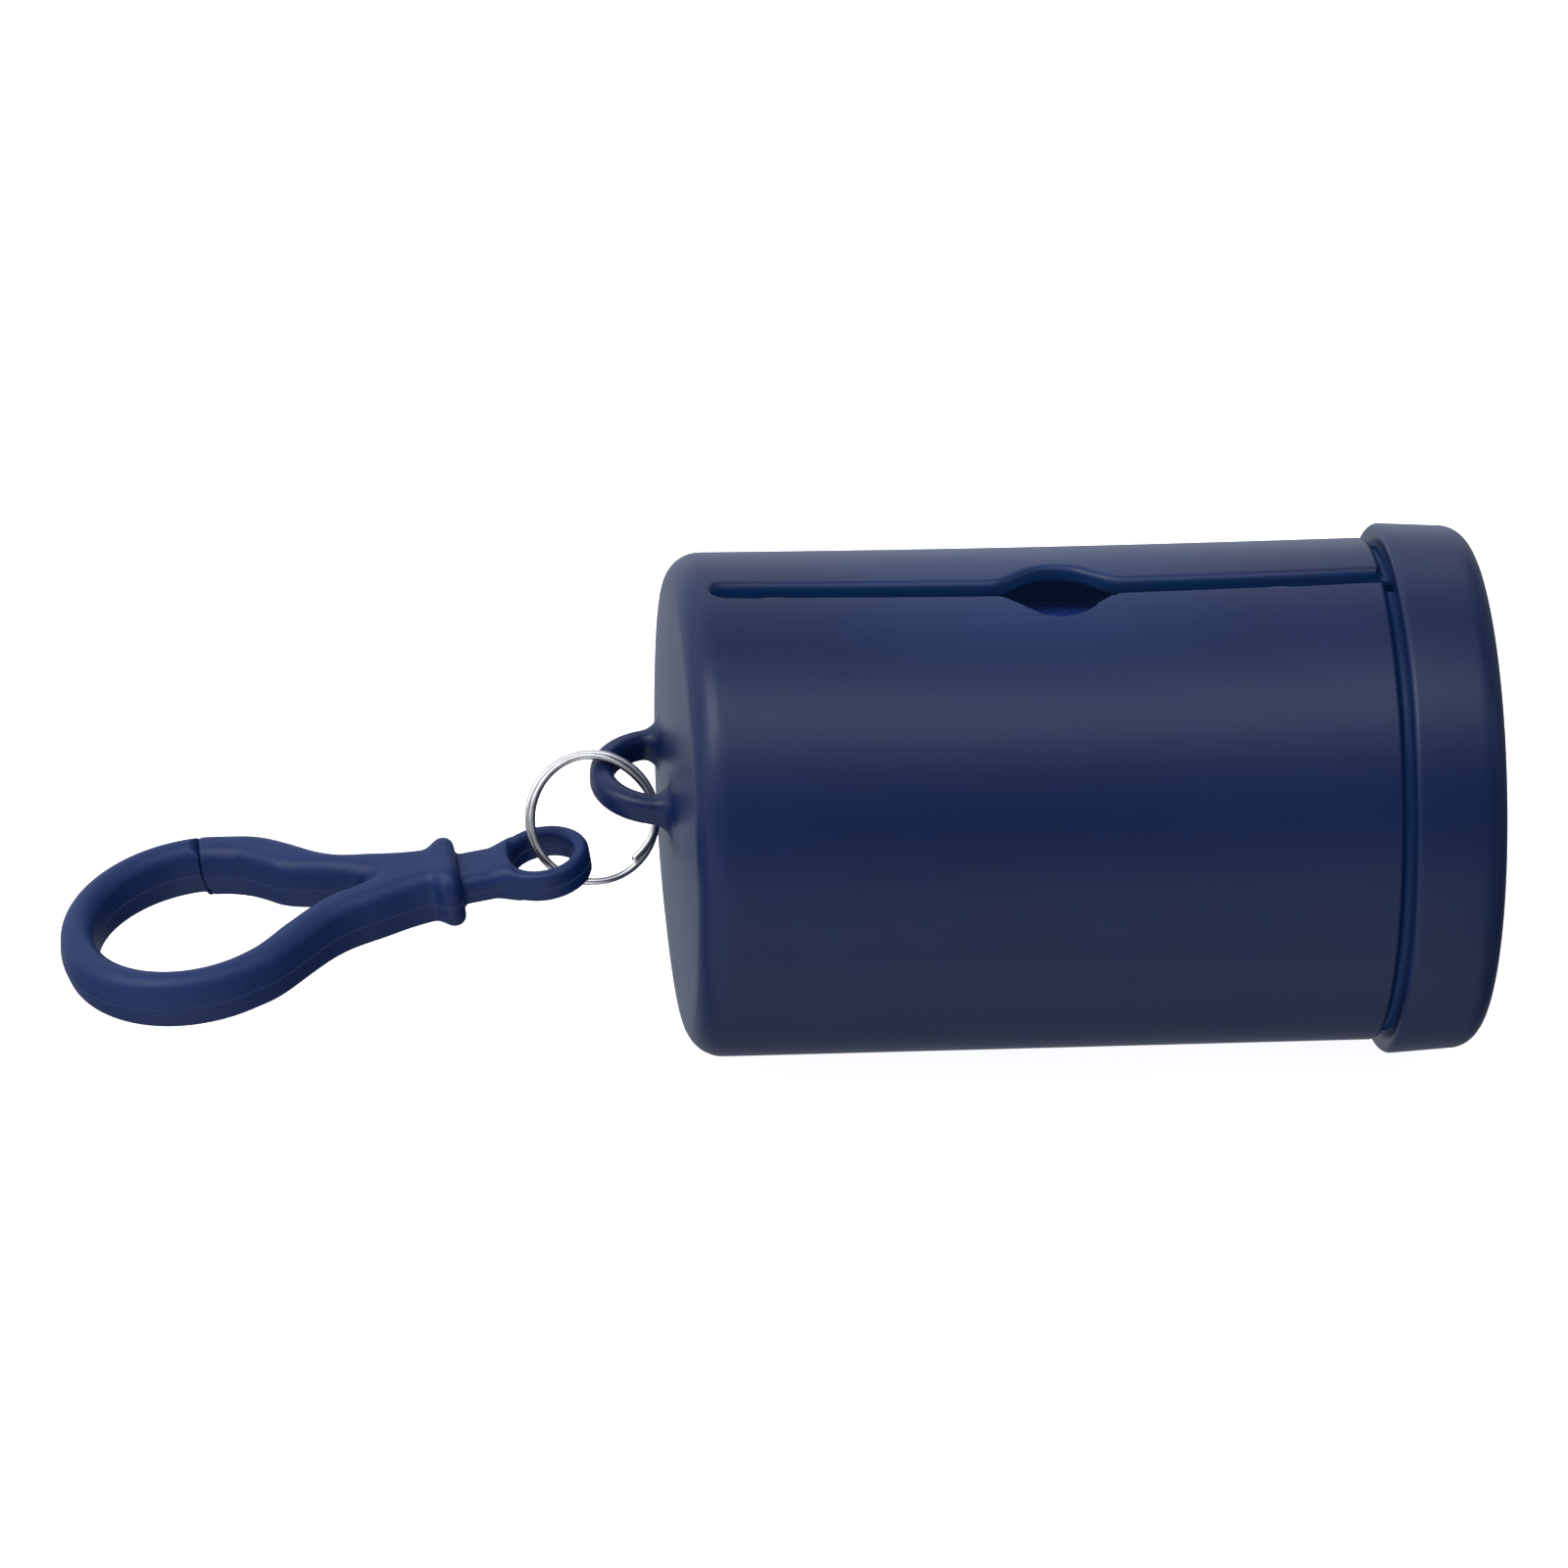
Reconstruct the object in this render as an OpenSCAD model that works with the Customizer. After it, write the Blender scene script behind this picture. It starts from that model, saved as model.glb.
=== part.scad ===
// Pet waste bag dispenser: a moulded canister with a tear slot, a push-on end
// cap, and a snap hook hung from a moulded bail by a split ring.
// The canister lies along X with its slot up. The origin is the centre of the
// end cap's flat outer face.

/* [Bag roll] */
// Diameter of the wound bags
roll_d = 36.6; // [28:0.2:44]
// Length of the wound bags
roll_len = 60; // [50:0.5:75]
// Outer diameter of the paper core
core_d = 14; // [12:0.5:20]
// Thickness of the paper core
core_wall = 0.9; // [0.6:0.1:1.5]
// How far the core stands out of the roll at each end
core_proud = 0.4; // [0.2:0.1:0.6]
// Radial play between the core and the bags wound on it
core_play = 0.02; // [0.01:0.01:0.1]
// Thickness of the loose bag on top of the roll
loose_t = 0.4; // [0.3:0.05:0.5]
// How far round the roll the loose bag reaches
loose_arc = 110; // [60:5:160]

/* [Room for the roll] */
// Play under the roll
roll_play = 0.25; // [0.2:0.05:0.6]
// How far the roll's axis lies below the canister's axis
roll_drop = 1.43; // [1:0.01:3]
// Play between the roll's core and the closed end
roll_end_play = 0.8; // [0.4:0.1:1.5]
// Free length between the roll's core and the neck's end
mouth_room = 5.5; // [5:0.5:12]

/* [Canister] */
// Thickness of the canister's side wall
wall = 2.1; // [1.8:0.1:3]
// Thickness of the closed end
end_wall = 2; // [1.5:0.1:3]
// Radius of the rounded corner at the closed end
end_corner_r = 3; // [2:0.1:4]
// How far the closed end bulges out
dome_h = 1.1; // [0.5:0.1:1.6]
// Rounding of the rim that faces the cap
rim_r = 0.5; // [0.2:0.1:0.8]

/* [Neck and cap] */
// How far the neck is set in from the canister's side
neck_step = 1.1; // [0.9:0.05:1.2]
// Open groove between the canister's rim and the cap
cap_gap = 1; // [0.6:0.1:2]
// Length of the cap
cap_len = 8.6; // [7:0.1:14]
// Thickness of the cap's flat end
cap_wall = 2; // [1.5:0.1:3]
// Thickness of the cap's skirt at its open end
skirt_wall = 2.15; // [1.8:0.05:3]
// How much narrower the skirt is at its closed end, on the radius
skirt_taper = 0.3; // [0:0.05:0.6]
// Radius of the cap's rounded outer corner
cap_corner_r = 3; // [2:0.1:4]
// Radial play of the skirt on the neck
cap_play = 0.1; // [0.05:0.01:0.2]
// Play between the neck's end and the inside of the cap
seat_play = 0.2; // [0.1:0.05:0.4]

/* [Slot] */
// Width of the tear slot
slot_w = 2.4; // [1.6:0.1:4]
// Distance from the closed end to the start of the slot
slot_start = 3.75; // [3.5:0.25:8]
// Radius of the finger opening in the slot
opening_r = 4.1; // [3.2:0.1:6]
// Distance from the closed end to the middle of the finger opening
opening_x = 34.7; // [20:0.5:45]
// Radius that blends the finger opening into the slot
flare_r = 2.2; // [1:0.1:4]

/* [Bail] */
// Radius of the bail, measured to its outer edge
bail_r = 6.35; // [6:0.05:8]
// Width of the bail's band
bail_w = 1.95; // [1.6:0.05:2.2]
// Height of the bail's band
bail_h = 2.1; // [1.6:0.1:2.4]
// Rounding of the bail's edges
bail_edge_r = 0.7; // [0.4:0.05:0.75]
// Height of the bail above the canister's axis
bail_z = 3; // [0:0.5:6]

/* [Split ring] */
// Outer diameter of the split ring
ring_d = 12; // [12:0.5:16]
// Thickness of the ring's wire
wire_d = 0.62; // [0.5:0.02:0.8]
// Play between the ring and the bail it hangs on
ring_play = 0.8; // [0.7:0.05:1]
// Angle of the ring's face to the horizontal
ring_face = 57; // [50:1:65]
// How far round the ring hangs from straight below the bail
ring_hang = 16; // [14:1:22]
// How far in front of the bail's middle the ring hangs
ring_front = 0.5; // [0:0.1:0.8]

/* [Snap hook] */
// Place of the hook's eye round the ring
eye_angle = 220; // [212:1:222]
// How far the eye's centre lies outside the ring's wire
eye_slack = 0.1; // [0:0.05:0.3]
// Downward slope of the hook away from the ring
hook_slope = 10.2; // [6:0.1:14]
// Turn of the hook towards the front
hook_turn = 1.8; // [-4:0.1:4]
// Outer radius of the eye
eye_r = 4.1; // [3.9:0.1:5]
// Radius of the hole in the eye
eye_hole_r = 2.9; // [2.8:0.05:3]
// Thickness of the eye
eye_t = 2.5; // [2.2:0.1:2.6]
// Width of the neck beside the eye
stem_w = 5.6; // [4.5:0.1:6]
// Thickness of the neck beside the eye
stem_t = 3.8; // [2.8:0.1:4]
// Distance from the eye's centre to the middle of the collar
collar_u = 8.4; // [8:0.1:11]
// Diameter of the collar
collar_d = 8.4; // [7:0.1:10]
// Width of the collar's band
collar_w = 2.4; // [1.4:0.1:2.6]
// Thickness of the hook's arms
arm_t = 4.6; // [3.4:0.1:5]
// Distance from the eye's centre to the middle of the loop
loop_u = 31.3; // [30:0.1:36]
// Outer radius of the loop
loop_r = 11.8; // [11.4:0.1:13]
// Width of the loop's arm
arm_w = 2.8; // [2.4:0.1:3.2]
// Half width of the shank at the collar
shank_w = 2.7; // [2.4:0.1:3.2]
// Half width of the shank where it meets the loop
shank_flare = 4.9; // [4.6:0.1:5.4]
// Radius that blends the shank into the loop
blend_r = 9; // [6:0.5:12]

/* [Gate] */
// Distance from the eye's centre to the gate's flex point
flex_u = 17.6; // [17.2:0.1:18.2]
// Distance from the hook's centre line to the flex point
flex_v = 2.7; // [2.5:0.1:2.9]
// Radius of the gate's rounded root
root_r = 1.9; // [1.8:0.05:2]
// Distance from the eye's centre to the gate's tip
gate_tip_u = 30; // [29:0.1:31]
// How much thicker the gate is than the rest of the loop
gate_extra = 0.6; // [0:0.1:1]
// Distance from the eye's centre to the bottom of the crotch
crotch_u = 16.4; // [16:0.1:16.8]
// Play round the gate
gate_play = 0.08; // [0.05:0.01:0.15]
// Play between the gate's tip and the nose
nose_play = 0.2; // [0.1:0.05:0.4]

/* [Hidden] */
$fn = 96;
eps = 0.01;
far = 100;

core_r = core_d / 2;
core_len = roll_len + 2 * core_proud;
roll_r = roll_d / 2;
loose_r = roll_r + core_play + loose_t;

floor_x = dome_h + end_wall;
roll_x = floor_x + roll_end_play;
bore_r = loose_r + roll_play + roll_drop;
body_r = bore_r + wall;
neck_r = body_r - neck_step;
neck_end = roll_x + core_len + mouth_room;
neck_chamfer = 0.4;
total_len = neck_end + seat_play + cap_wall;
body_len = total_len - cap_len - cap_gap;
floor_corner_r = 2;
cap_bore_r = neck_r + cap_play;
skirt_r = cap_bore_r + skirt_wall;
cap_edge_r = 0.5;

bail_mean_r = bail_r - bail_w / 2;
ring_r = (ring_d - wire_d) / 2;
// Half of the band's slanting height, as the leaning ring meets it
bail_half = bail_h / 2 / sin(ring_face);
hang = ring_d / 2 - wire_d - bail_half - ring_play;
eye_reach = ring_r + eye_slack;

loop_inner_r = loop_r - arm_w;
gate_tip_r = norm([gate_tip_u - flex_u,
                   sqrt(pow(loop_r, 2) - pow(loop_u - gate_tip_u, 2)) - flex_v]);
lap_r = norm([gate_tip_u - flex_u,
              sqrt(pow(loop_inner_r, 2) - pow(loop_u - gate_tip_u, 2)) - flex_v]);

// Points of an arc, from angle a0 to angle a1
function arc(centre, r, a0, a1, steps = 8) =
    [for (i = [0:steps]) centre + r * [cos(a0 + (a1 - a0) * i / steps),
                                       sin(a0 + (a1 - a0) * i / steps)]];

// Turns an outline drawn as [radius, distance from the closed end] about X
module turned(points) {
    translate([-total_len, 0, 0])
        rotate([90, 0, 90])
            rotate_extrude()
                polygon(points);
}

// Outline of the canister's shell
function shell_outline() =
    let (dome_r = (pow(body_r - end_corner_r, 2) + pow(dome_h, 2)) / (2 * dome_h),
         corner_y = dome_r - sqrt(pow(dome_r - end_corner_r, 2)
                                  - pow(body_r - end_corner_r, 2)),
         tilt = asin((body_r - end_corner_r) / (dome_r - end_corner_r)))
    concat(arc([0, dome_r], dome_r, -90, -90 + tilt, 6),
           arc([body_r - end_corner_r, corner_y], end_corner_r, -90 + tilt, 0),
           arc([body_r - rim_r, body_len - rim_r], rim_r, 0, 90, 4),
           [[neck_r, body_len],
            [neck_r, neck_end - neck_chamfer],
            [neck_r - neck_chamfer, neck_end],
            [bore_r, neck_end]],
           arc([bore_r - floor_corner_r, floor_x + floor_corner_r],
               floor_corner_r, 0, -90, 5),
           [[0, floor_x]]);

// Outline of the end cap
function cap_outline() =
    let (open_x = body_len + cap_gap,
         inner_x = total_len - cap_wall,
         end_r = skirt_r - skirt_taper)
    concat([[cap_bore_r, inner_x],
            [cap_bore_r, open_x + cap_edge_r],
            [cap_bore_r + cap_edge_r, open_x]],
           arc([skirt_r - cap_edge_r, open_x + cap_edge_r], cap_edge_r, -90, 0, 4),
           arc([end_r - cap_corner_r, total_len - cap_corner_r],
               cap_corner_r, 0, 90),
           [[0, total_len],
            [0, inner_x]]);

// Flat shape of the slot with its finger opening
module slot_shape() {
    blend_x = sqrt(pow(opening_r + flare_r, 2) - pow(slot_w / 2 + flare_r, 2));
    start_x = slot_start + slot_w / 2;
    translate([start_x, 0])
        circle(d = slot_w);
    translate([start_x, -slot_w / 2])
        square([total_len - start_x, slot_w]);
    translate([opening_x, 0]) {
        circle(opening_r);
        for (side_x = [0, 1], side_y = [0, 1])
            mirror([side_x, 0])
                mirror([0, side_y])
                    difference() {
                        polygon([[0, 0], [blend_x, 0],
                                 [blend_x, slot_w / 2 + flare_r]]);
                        translate([blend_x, slot_w / 2 + flare_r])
                            circle(flare_r);
                    }
    }
}

// Cross-section of the bail's band, with rounded edges
module band_section(w, h, r) {
    square([w - 2 * r, h], center = true);
    square([w, h - 2 * r], center = true);
    for (side_x = [-1, 1], side_y = [-1, 1])
        translate([side_x * (w / 2 - r), side_y * (h / 2 - r)])
            circle(r, $fn = 32);
}

module bail() {
    translate([-total_len, 0, bail_z])
        intersection() {
            rotate_extrude()
                translate([bail_mean_r, 0])
                    band_section(bail_w, bail_h, bail_edge_r);
            translate([-far, -far, -far])
                cube([far + floor_x - eps, 2 * far, 2 * far]);
        }
}

module canister() {
    color([0.17, 0.20, 0.33]) {
        difference() {
            turned(shell_outline());
            translate([-total_len, 0, 0])
                linear_extrude(far)
                    slot_shape();
        }
        bail();
    }
}

module end_cap() {
    color([0.17, 0.20, 0.33])
        turned(cap_outline());
}

// Moves its children to the middle of the split ring, into the ring's plane
module at_ring() {
    translate([-total_len - bail_mean_r, -ring_front, bail_z])
        rotate([ring_face, 0, 0])
            translate([-hang * sin(ring_hang), -hang * cos(ring_hang), 0])
                children();
}

module split_ring() {
    color([0.78, 0.77, 0.75])
        at_ring()
            rotate_extrude()
                translate([ring_r, 0]) {
                    for (side = [-1, 1])
                        translate([0, side * wire_d / 2])
                            circle(d = wire_d, $fn = 32);
                    square([wire_d / 2, wire_d], center = true);
                }
}

// Moves its children to the hook's eye: X runs along the hook, Y to the gate
module at_hook() {
    at_ring()
        translate(eye_reach * [cos(eye_angle), sin(eye_angle), 0])
            rotate([-ring_face, 0, 0])
                rotate([0, 0, hook_turn])
                    rotate([0, -hook_slope, 0])
                        mirror([1, 0, 0])
                            children();
}

// Flat shape of the hook's shank and loop, gate and all
module hook_shape() {
    difference() {
        offset(r = -blend_r, $fn = 160)
            offset(delta = blend_r) {
                translate([loop_u, 0])
                    circle(loop_r);
                polygon([[collar_u, shank_w], [collar_u, -shank_w],
                         [loop_u - loop_inner_r, -shank_flare],
                         [loop_u, 0],
                         [loop_u - loop_inner_r, shank_flare]]);
            }
        loop_hole();
    }
}

// Flat shape of the hole in the loop, with its crotch
module loop_hole() {
    reach = loop_u - crotch_u;
    touch = acos(loop_inner_r / reach);
    difference() {
        union() {
            translate([loop_u, 0])
                circle(loop_inner_r);
            polygon([[crotch_u, 0],
                     [loop_u - loop_inner_r * cos(touch), loop_inner_r * sin(touch)],
                     [loop_u - loop_inner_r * cos(touch), -loop_inner_r * sin(touch)]]);
        }
        gate_pad();
    }
}

// Flat shape of the extra thickness on the gate's inner side
module gate_pad() {
    intersection() {
        difference() {
            translate([loop_u, 0])
                circle(loop_r);
            translate([loop_u, -gate_extra])
                circle(loop_inner_r);
        }
        translate([flex_u, flex_v])
            square([gate_tip_u - flex_u, loop_r]);
    }
}

// Room for the gate in the hook, out to radius r from the flex point
module gate_room(r) {
    intersection() {
        translate([flex_u, flex_v])
            circle(r);
        polygon([[flex_u, flex_v],
                 [crotch_u - gate_play * 4, 0],
                 [loop_u, 0],
                 [loop_u + loop_r, flex_v],
                 [loop_u + loop_r, flex_v + loop_r],
                 [flex_u - loop_r, flex_v + loop_r]]);
    }
    translate([flex_u, flex_v])
        circle(root_r + gate_play);
}

// Slab of the hook's arms between two heights
module arm_slab(low, high) {
    translate([0, 0, low])
        linear_extrude(high - low)
            children();
}

module snap_hook() {
    color([0.17, 0.20, 0.33])
        at_hook() {
            difference() {
                union() {
                    translate([0, 0, -eye_t / 2])
                        cylinder(h = eye_t, r = eye_r);
                    translate([eye_hole_r, -stem_w / 2, -stem_t / 2])
                        cube([collar_u - eye_hole_r, stem_w, stem_t]);
                }
                translate([0, 0, -arm_t])
                    cylinder(h = 2 * arm_t, r = eye_hole_r);
                for (side = [-1, 1])
                    translate([0, 0, side * (eye_t + arm_t) / 2 - arm_t / 2])
                        cylinder(h = arm_t, r = eye_r);
            }
            translate([collar_u - collar_w / 2, 0, 0])
                rotate([0, 90, 0])
                    rotate_extrude() {
                        square([(collar_d - collar_w) / 2, collar_w]);
                        translate([(collar_d - collar_w) / 2, collar_w / 2])
                            circle(d = collar_w, $fn = 32);
                    }
            arm_slab(-arm_t / 2, arm_t / 2)
                difference() {
                    hook_shape();
                    gate_room(gate_tip_r + nose_play);
                }
            arm_slab(-arm_t / 2, 0)
                difference() {
                    hook_shape();
                    gate_room(lap_r + nose_play);
                }
        }
}

// Flat shape of the gate, out to radius r from the flex point
module gate_shape(r) {
    intersection() {
        hook_shape();
        union() {
            translate([flex_u, flex_v])
                circle(root_r);
            intersection() {
                translate([flex_u, flex_v])
                    circle(r);
                translate([flex_u, 0])
                    square([gate_tip_u - flex_u, loop_r + arm_w]);
            }
        }
    }
}

module hook_gate() {
    color([0.19, 0.22, 0.36])
        at_hook() {
            arm_slab(-arm_t / 2, arm_t / 2)
                gate_shape(lap_r);
            arm_slab(gate_play, arm_t / 2)
                gate_shape(far);
        }
}

// Moves its children to the roll's end, with Z along the roll
module at_roll(x) {
    translate([x - total_len, 0, -roll_drop])
        rotate([0, 90, 0])
            children();
}

module roll_core() {
    color([0.72, 0.60, 0.45])
        at_roll(roll_x)
            difference() {
                cylinder(h = core_len, r = core_r);
                translate([0, 0, -1])
                    cylinder(h = core_len + 2, r = core_r - core_wall);
            }
}

module bag_roll() {
    color([0.20, 0.24, 0.62])
        at_roll(roll_x + core_proud)
            difference() {
                cylinder(h = roll_len, r = roll_r);
                translate([0, 0, -1])
                    cylinder(h = roll_len + 2, r = core_r + core_play);
            }
}

module loose_bag() {
    color([0.24, 0.28, 0.70])
        at_roll(roll_x + core_proud)
            rotate([0, 0, 180 - loose_arc / 2])
                rotate_extrude(angle = loose_arc)
                    translate([loose_r - loose_t, 0])
                        square([loose_t, roll_len]);
}

canister();
end_cap();
split_ring();
snap_hook();
hook_gate();
roll_core();
bag_roll();
loose_bag();
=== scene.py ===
# %% [markdown]
# # A waste bag dispenser, dressed for its picture
#
# The engineering model already says where everything is. This lesson loads it as a
# fixed frame and builds the finished look round it, one piece at a time: a moulded
# canister with a tear slot, its push-on cap, a split ring, a snap hook with a springy
# gate, and the roll of bags inside. Lengths are in metres in Blender, but a maker
# thinks in millimetres, so each shape is drawn in millimetres and scaled at the end.

# %% The frame and the workshop's units
import math

import bmesh
import bpy
import numpy as np
from mathutils import Matrix, Vector


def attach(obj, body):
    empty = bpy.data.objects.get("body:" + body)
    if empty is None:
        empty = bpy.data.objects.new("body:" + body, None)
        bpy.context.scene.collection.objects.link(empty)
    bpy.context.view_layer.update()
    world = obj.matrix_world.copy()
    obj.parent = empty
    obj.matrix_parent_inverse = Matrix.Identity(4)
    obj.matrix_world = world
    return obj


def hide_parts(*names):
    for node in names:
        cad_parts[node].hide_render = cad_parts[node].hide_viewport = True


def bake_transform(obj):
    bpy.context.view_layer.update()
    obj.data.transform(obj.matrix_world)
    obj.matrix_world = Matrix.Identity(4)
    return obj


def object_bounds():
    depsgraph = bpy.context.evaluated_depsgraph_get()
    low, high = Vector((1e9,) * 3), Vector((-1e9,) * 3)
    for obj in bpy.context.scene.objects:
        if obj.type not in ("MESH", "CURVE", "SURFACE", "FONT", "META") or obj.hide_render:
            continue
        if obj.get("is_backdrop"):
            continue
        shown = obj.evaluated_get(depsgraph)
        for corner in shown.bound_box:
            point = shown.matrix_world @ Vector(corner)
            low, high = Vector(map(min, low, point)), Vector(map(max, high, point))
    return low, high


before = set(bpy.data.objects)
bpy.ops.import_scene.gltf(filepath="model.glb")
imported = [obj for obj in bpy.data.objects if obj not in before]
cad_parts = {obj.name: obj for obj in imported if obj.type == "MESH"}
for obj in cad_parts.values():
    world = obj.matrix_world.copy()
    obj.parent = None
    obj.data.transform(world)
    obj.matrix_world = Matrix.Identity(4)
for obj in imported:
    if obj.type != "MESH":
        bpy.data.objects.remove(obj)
cad_low, cad_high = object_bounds()
MM = 0.001
print("size in mm", [round(x / MM, 1) for x in cad_high - cad_low])

# %% [markdown]
# ## The camera
# A small object looks calm and true through a long lens from far away. The camera is
# placed by three directions, its right, its up and its view, so that a slight tilt of
# the tripod can be kept exactly. Euler angles would do too, but they hide that tilt.

# %% Camera
lens = bpy.data.cameras.new("camera")
lens.lens, lens.sensor_width = 225, 36
lens.clip_start, lens.clip_end = 0.01, 50
camera = bpy.data.objects.new("camera", lens)
bpy.context.scene.collection.objects.link(camera)
right, up = Vector((0.99524, -0.09229, 0.03128)), Vector((0.02375, 0.54102, 0.84068))
camera.matrix_world = (Matrix.Translation((-0.14370, -0.72599, 0.47146))
                       @ Matrix((right, up, right.cross(up))).transposed().to_4x4())
bpy.context.scene.camera = camera
print("camera looks along", [round(x, 3) for x in -right.cross(up)])

# %% [markdown]
# ## Moulding with distances
# Injection-moulded plastic has no knife edges: every corner is a small radius and
# every joint a fillet. A shape can be written as a function that gives the distance
# from any point to its surface, below zero inside. Two such shapes are joined with a
# fillet, or cut with a rounded edge, by one line of arithmetic each. Booleans and
# bevels could do it as well, but bevels break where a round slot meets a round wall.

# %% Joining, cutting and rounding


def joined(a, b, fillet):
    """Both shapes, with a hollow fillet where they meet."""
    corner = np.hypot(np.maximum(fillet - a, 0), np.maximum(fillet - b, 0))
    return np.maximum(fillet, np.minimum(a, b)) - corner


def common(a, b, edge):
    """What two shapes share, with a rounded edge where they end."""
    corner = np.hypot(np.maximum(edge + a, 0), np.maximum(edge + b, 0))
    return np.minimum(-edge, np.maximum(a, b)) + corner


def cut(a, b, edge):
    """The first shape less the second, with a rounded edge."""
    return common(a, -b, edge)


def outline_distance(points, x, y):
    """Distance from (x, y) to a closed outline, below zero inside."""
    corners = np.asarray(points, float)
    best = np.full(x.shape, 1e9)
    inside = np.zeros(x.shape, bool)
    for (x0, y0), (x1, y1) in zip(corners, np.roll(corners, -1, 0)):
        ex, ey, px, py = x1 - x0, y1 - y0, x - x0, y - y0
        along = np.clip((px * ex + py * ey) / (ex * ex + ey * ey + 1e-12), 0, 1)
        best = np.minimum(best, (px - ex * along) ** 2 + (py - ey * along) ** 2)
        crosses = (y0 > y) != (y1 > y)
        inside ^= crosses & (px < ex * (y - y0) / (ey + (ey == 0)))
    return np.where(inside, -1, 1) * np.sqrt(best)


def round_box(x, y, half_x, half_y, edge):
    """Distance to a rectangle with rounded corners."""
    qx, qy = np.abs(x) - half_x + edge, np.abs(y) - half_y + edge
    outside = np.hypot(np.maximum(qx, 0), np.maximum(qy, 0))
    return outside + np.minimum(np.maximum(qx, qy), 0) - edge


def arc(cx, cy, r, a0, a1, steps=8):
    """Points of an arc, the angles in degrees."""
    angles = [math.radians(a0 + (a1 - a0) * i / steps) for i in range(steps + 1)]
    return [(cx + r * math.cos(a), cy + r * math.sin(a)) for a in angles]


def through(points, steps=6):
    """A smooth line through the points."""
    p = np.array([points[0], *points, points[-1]], float)
    line = []
    for a, b, c, d in zip(p, p[1:], p[2:], p[3:]):
        for t in np.arange(steps) / steps:
            line.append(0.5 * (2 * b + (c - a) * t + (2 * a - 5 * b + 4 * c - d) * t ** 2
                               + (3 * b - a - 3 * c + d) * t ** 3))
    return [*line, p[-1]]


# %% [markdown]
# ## From distances to a skin of quads
# The space is divided into cells. Each cell that the surface passes through gets one
# corner of the mesh, each grid edge that it crosses gets one face, and the corners
# are then drawn onto the true surface by following its slope. The slope also gives
# the exact direction of the surface, which is stored as the corner's normal, so a
# soft radius shades smoothly even where it is only a few faces wide.

# %% The skin maker


def slope(distance, p):
    """Which way the distance grows at each point, and how fast, squared."""
    step = 0.02
    g = np.stack([distance(p + o) - distance(p - o) for o in np.eye(3) * step], -1) / (2 * step)
    return g, np.maximum((g * g).sum(-1), 1e-4)


def skin(distance, axes, place=None, ring=False):
    """Corners, quads and normals of the surface.

    With ring, the second axis closes on itself.
    """
    grid = np.stack(np.meshgrid(*axes, indexing="ij"), -1)
    p = grid if place is None else place(grid)
    d = distance(p)
    inside = d < 0
    n = [s - 1 for s in d.shape]
    total, weight = np.zeros((*n, 3)), np.zeros(n)
    crossings = []
    for a in range(3):
        lo = tuple(slice(0, -1) if k == a else slice(None) for k in range(3))
        hi = tuple(slice(1, None) if k == a else slice(None) for k in range(3))
        cross = inside[lo] != inside[hi]
        t = np.where(cross, d[lo] / (d[lo] - d[hi] + (d[lo] == d[hi])), 0)[..., None]
        at = (p[lo] * (1 - t) + p[hi] * t) * cross[..., None]
        b, c = [k for k in range(3) if k != a]
        for sb in (0, 1):
            for sc in (0, 1):
                part = [slice(None)] * 3
                part[b], part[c] = slice(sb, n[b] + sb), slice(sc, n[c] + sc)
                total += at[tuple(part)]
                weight += cross[tuple(part)]
        crossings.append((cross, inside[lo]))
    used = weight > 0
    number = np.full(n, -1)
    number[used] = np.arange(used.sum())
    corners = total[used] / weight[used][:, None]
    quads = []
    for a, (cross, solid_low) in enumerate(crossings):
        b, c = (a + 1) % 3, (a + 2) % 3
        i = np.argwhere(cross)
        keep = np.ones(len(i), bool)
        for k in (b, c):
            keep &= (i[:, k] < n[k]) & ((i[:, k] > 0) | (ring and k == 1))
        i = i[keep]
        face = []
        for sb, sc in ((1, 1), (0, 1), (0, 0), (1, 0)):
            j = i.copy()
            j[:, b] = (j[:, b] - sb) % n[b]
            j[:, c] = (j[:, c] - sc) % n[c]
            face.append(number[tuple(j.T)])
        face = np.stack(face, -1)
        flip = ~solid_low[tuple(i.T)]
        face[flip] = face[flip][:, ::-1]
        quads.append(face)
    quads = np.concatenate(quads)
    for _ in range(4):
        g, g2 = slope(distance, corners)
        corners = corners - np.clip(distance(corners) / g2, -0.2, 0.2)[:, None] * g
    g, g2 = slope(distance, corners)
    return corners, quads[(quads >= 0).all(1)], g / np.sqrt(g2)[:, None]


def make(name, corners, faces, body, slot, replaces=(), normals=None, bend=None):
    """A mesh from millimetres that rides on its body; a piece given bend is only set in world space and rides
    on none.
    """
    mesh = bpy.data.meshes.new(name)
    mesh.from_pydata((np.asarray(corners, float) * MM).tolist(), [], [list(map(int, f)) for f in faces])
    mesh.update()
    mesh.polygons.foreach_set("use_smooth", [True] * len(mesh.polygons))
    if normals is not None:
        outward = sum(f.normal.dot(Vector(normals[f.vertices[0]])) for f in mesh.polygons)
        if outward < 0:
            mesh.flip_normals()
        mesh.normals_split_custom_set_from_vertices(np.asarray(normals).tolist())
    piece = bpy.data.objects.new(name, mesh)
    bpy.context.scene.collection.objects.link(piece)
    if bend:
        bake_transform(piece)
    else:
        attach(piece, body)
    if replaces:
        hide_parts(*replaces)
    print(name, len(mesh.vertices), "corners,", len(mesh.polygons), "faces")
    return piece


# %% [markdown]
# ## The canister
# The canister is a thin tube with one domed end, moulded in one shot with the bail
# that the split ring hangs on. Its wall is drawn once as an outline and turned about
# the axis. The slot, with the round opening that a bag's end is pulled through, is
# cut down through the top with rounded edges. A grid that runs round the tube puts
# the small cells where the slot and the bail are, and long ones elsewhere. Such a grid
# never reaches the axis itself, so a hole of 0.3 mm radius stays open at the middle of
# the end, outside and inside. A triangle fan would close it.

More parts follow.
